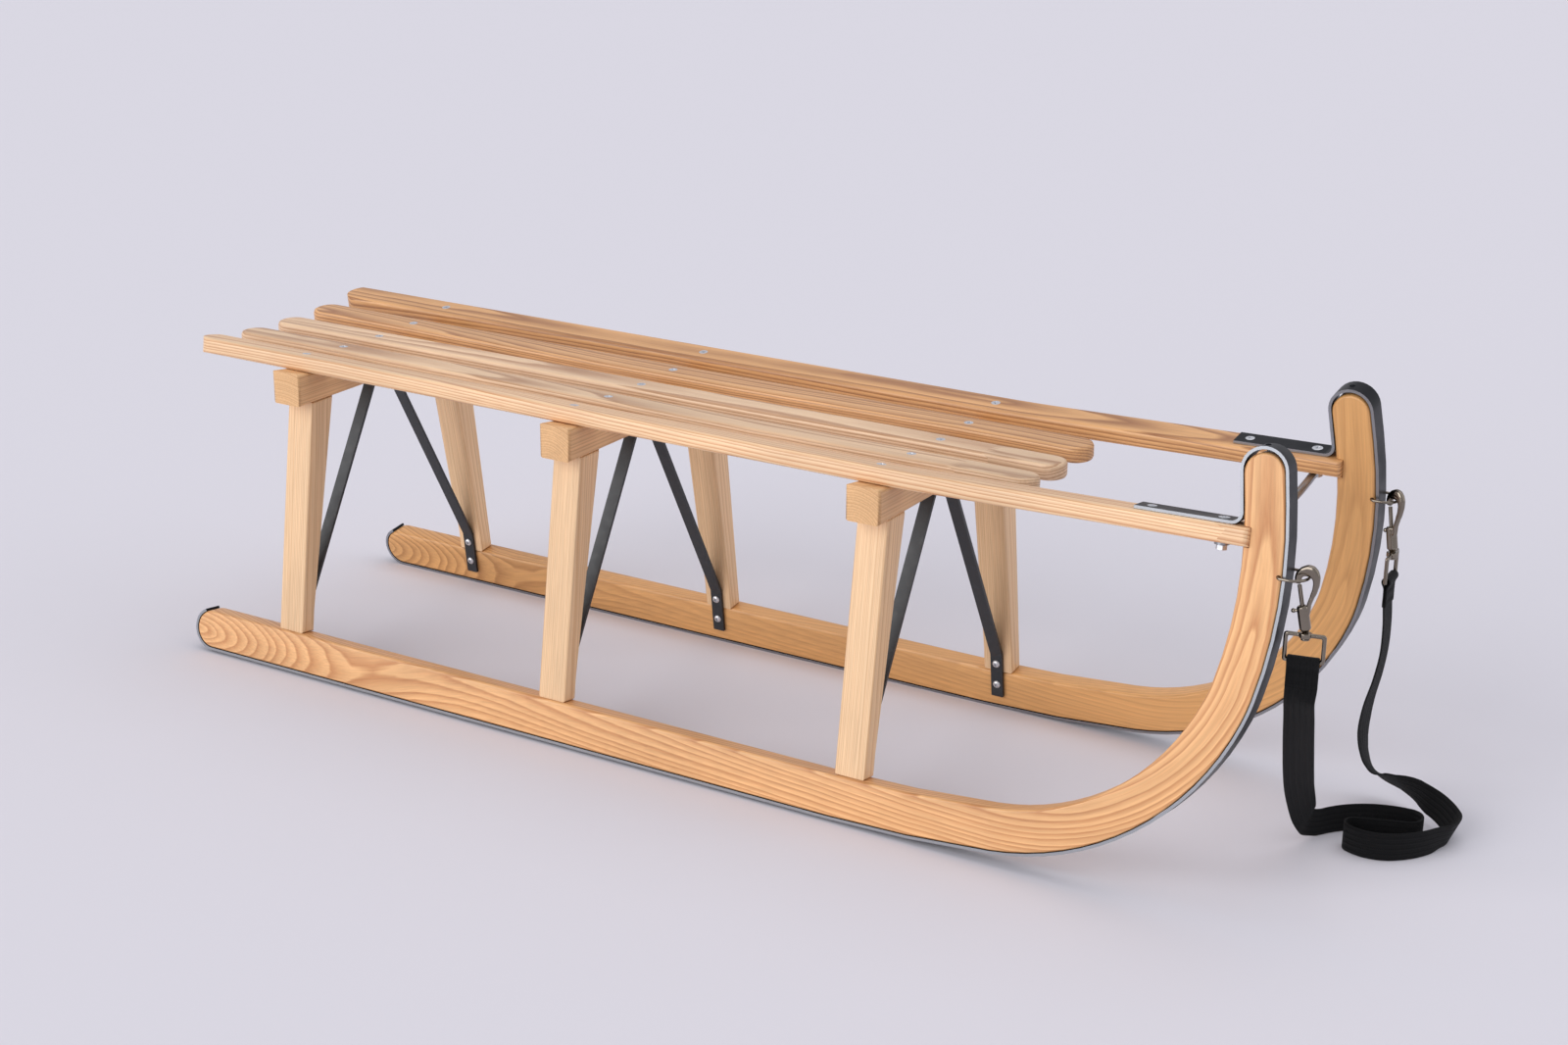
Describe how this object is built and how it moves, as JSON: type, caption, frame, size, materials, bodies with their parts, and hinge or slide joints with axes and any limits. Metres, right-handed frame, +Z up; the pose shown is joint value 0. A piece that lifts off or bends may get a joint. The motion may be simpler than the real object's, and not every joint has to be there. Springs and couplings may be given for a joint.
{
  "type": "wooden sledge",
  "caption": "Slatted wooden sledge with steel-shod upturned runners, flat steel braces and a webbing pull strap clipped on with snap hooks.",
  "frame": {"origin": "middle of the sledge's footprint, on the ground it stands on", "axes": "+X forwards, towards the upturned horns; +Y to the rider's left; +Z up"},
  "size_m": [1.206, 0.3168, 0.3821],
  "materials": {
    "ash_warm": "satin lacquered ash, warm honey",
    "ash_pale": "satin lacquered ash, pale cream",
    "ash_red": "satin lacquered ash, reddish tan",
    "black_steel": "black enamelled flat steel",
    "bright_steel": "bright rolled steel",
    "nickel": "polished nickel plate",
    "webbing": "black woven webbing"
  },
  "bodies": {
    "sledge": {"bow_bolt_left": "nickel", "bow_bolt_right": "nickel", "bow_nut_left": "nickel", "bow_nut_right": "nickel", "brace_front": "black_steel", "brace_middle": "black_steel", "brace_rear": "black_steel", "crossbar_front": "ash_pale", "crossbar_middle": "ash_pale", "crossbar_rear": "ash_pale", "front_bow": "bright_steel", "leg_front_left": "ash_pale", "leg_front_right": "ash_pale", "leg_middle_left": "ash_pale", "leg_middle_right": "ash_pale", "leg_rear_left": "ash_pale", "leg_rear_right": "ash_pale", "runner_left": "ash_warm", "runner_right": "ash_warm", "runner_strip_left": "bright_steel", "runner_strip_right": "bright_steel", "slat_centre": "ash_pale", "slat_inner_left": "ash_pale", "slat_inner_right": "ash_pale", "slat_outer_left": "ash_red", "slat_outer_right": "ash_warm", "slat_screw_front_centre": "nickel", "slat_screw_front_inner_left": "nickel", "slat_screw_front_inner_right": "nickel", "slat_screw_front_outer_left": "nickel", "slat_screw_front_outer_right": "nickel", "slat_screw_middle_centre": "nickel", "slat_screw_middle_inner_left": "nickel", "slat_screw_middle_inner_right": "nickel", "slat_screw_middle_outer_left": "nickel", "slat_screw_middle_outer_right": "nickel", "slat_screw_rear_centre": "nickel", "slat_screw_rear_inner_left": "nickel", "slat_screw_rear_inner_right": "nickel", "slat_screw_rear_outer_left": "nickel", "slat_screw_rear_outer_right": "nickel", "strap_coil": "webbing", "strap_drop_left": "webbing", "strap_drop_right": "webbing", "strip_screw_left": "nickel", "strip_screw_right": "nickel", "tow_ring_left": "nickel", "tow_ring_right": "nickel"},
    "right_eye": {"swivel_eye_right": "nickel", "strap_end_right": "webbing"},
    "right_hook": {"hook_right": "nickel", "hook_spring_right": "nickel"},
    "right_bolt": {"hook_bolt_right": "nickel"},
    "left_eye": {"swivel_eye_left": "nickel", "strap_end_left": "webbing"},
    "left_hook": {"hook_left": "nickel", "hook_spring_left": "nickel"},
    "left_bolt": {"hook_bolt_left": "nickel"}
  },
  "joints": [
    {"name": "right_leash_swing", "type": "hinge", "parent": "sledge", "child": "right_eye", "pos_m": [0.56064, -0.10887, 0.2855], "axis": [0, -1, 0], "range_deg": [0, 75]},
    {"name": "right_hook_swivel", "type": "hinge", "parent": "right_eye", "child": "right_hook", "pos_m": [0.56154, -0.10887, 0.2377], "axis": [0, 0, 1], "range_deg": [-20, 20]},
    {"name": "right_bolt_slide", "type": "slide", "parent": "right_hook", "child": "right_bolt", "axis": [0.2079, 0, -0.9781], "range_m": [0, 0.005], "stiffness_N_per_m": 300, "springref_m": -0.004, "deforming": ["hook_spring_right"]},
    {"name": "left_leash_swing", "type": "hinge", "parent": "sledge", "child": "left_eye", "pos_m": [0.55941, 0.10333, 0.2855], "axis": [-0.4226, -0.9063, 0], "range_deg": [0, 75]},
    {"name": "left_hook_swivel", "type": "hinge", "parent": "left_eye", "child": "left_hook", "pos_m": [0.56017, 0.10285, 0.2377], "axis": [0, 0, 1], "range_deg": [-20, 20]},
    {"name": "left_bolt_slide", "type": "slide", "parent": "left_hook", "child": "left_bolt", "axis": [0.1763, -0.1102, -0.9781], "range_m": [0, 0.005], "stiffness_N_per_m": 300, "springref_m": -0.004, "deforming": ["hook_spring_left"]}
  ]
}
